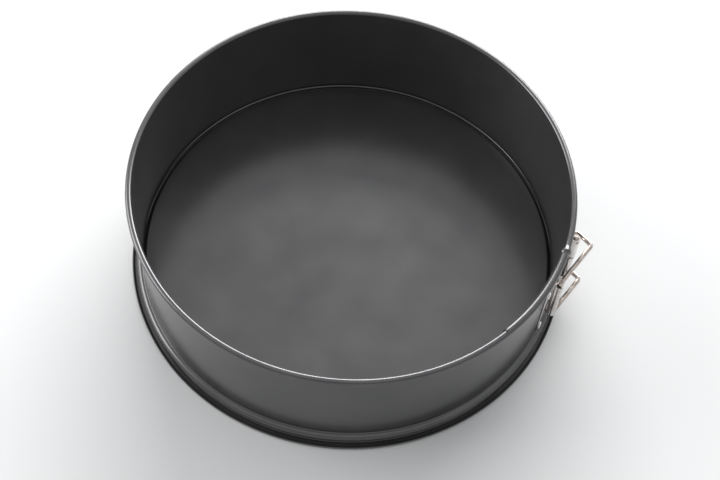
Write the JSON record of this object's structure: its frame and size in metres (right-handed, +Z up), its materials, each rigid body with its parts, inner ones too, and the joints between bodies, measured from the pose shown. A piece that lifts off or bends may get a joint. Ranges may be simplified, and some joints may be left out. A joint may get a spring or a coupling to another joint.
{
  "type": "springform pan",
  "caption": "Round baking tin with a loose flanged base plate and a split springy steel side ring that an over-centre lever clasp opens and closes.",
  "frame": {"origin": "on the pan's axis, in the plane that the base plate stands on", "axes": "+Z up, +X out through the middle of the clasp, +Y along the wall from the hook towards the lever's tip"},
  "size_m": [0.2572, 0.2486, 0.0745],
  "materials": {
    "nonstick_steel": "dark grey non-stick coating, satin",
    "plated_steel": "bright plated sheet steel",
    "plated_wire": "bright plated wire"
  },
  "bodies": {
    "base": {"base_plate": "nonstick_steel"},
    "ring_back": {"band_back": "nonstick_steel"},
    "ring_hook_side": {"band_a": "nonstick_steel", "hook_bracket": "plated_steel", "hook_rivet_lower": "plated_steel", "hook_rivet_upper": "plated_steel"},
    "ring_lever_side": {"band_b": "nonstick_steel", "lever_bracket": "plated_steel", "lever_rivet_lower": "plated_steel", "lever_rivet_upper": "plated_steel", "hinge_pin": "plated_wire"},
    "lever": {"lever": "plated_steel"},
    "link": {"link": "plated_wire"}
  },
  "joints": [
    {"name": "ring_lift", "type": "slide", "parent": "base", "child": "ring_back", "axis": [0, 0, 1], "range_m": [0, 0.09]},
    {"name": "hook_side_spring", "type": "hinge", "parent": "ring_back", "child": "ring_hook_side", "pos_m": [-0.10496, -0.0606, 0.04], "axis": [0, 0, -1], "range_deg": [0, 1.05]},
    {"name": "lever_side_spring", "type": "hinge", "parent": "ring_back", "child": "ring_lever_side", "pos_m": [-0.10496, 0.0606, 0.04], "axis": [0, 0, 1], "range_deg": [0, 1.05]},
    {"name": "lever_swing", "type": "hinge", "parent": "ring_lever_side", "child": "lever", "pos_m": [0.12275, 0.01268, 0.033], "axis": [0, 0, -1], "range_deg": [0, 140]},
    {"name": "link_swing", "type": "hinge", "parent": "lever", "child": "link", "pos_m": [0.12205, 0.02163, 0.033], "axis": [0, 0, 1], "range_deg": [0, 140]}
  ],
  "couplings": [
    {"joint": "link_swing", "follows": "lever_swing", "ratio": 1},
    {"joint": "hook_side_spring", "follows": "lever_swing", "ratio": 0.007429},
    {"joint": "lever_side_spring", "follows": "lever_swing", "ratio": 0.007429}
  ]
}
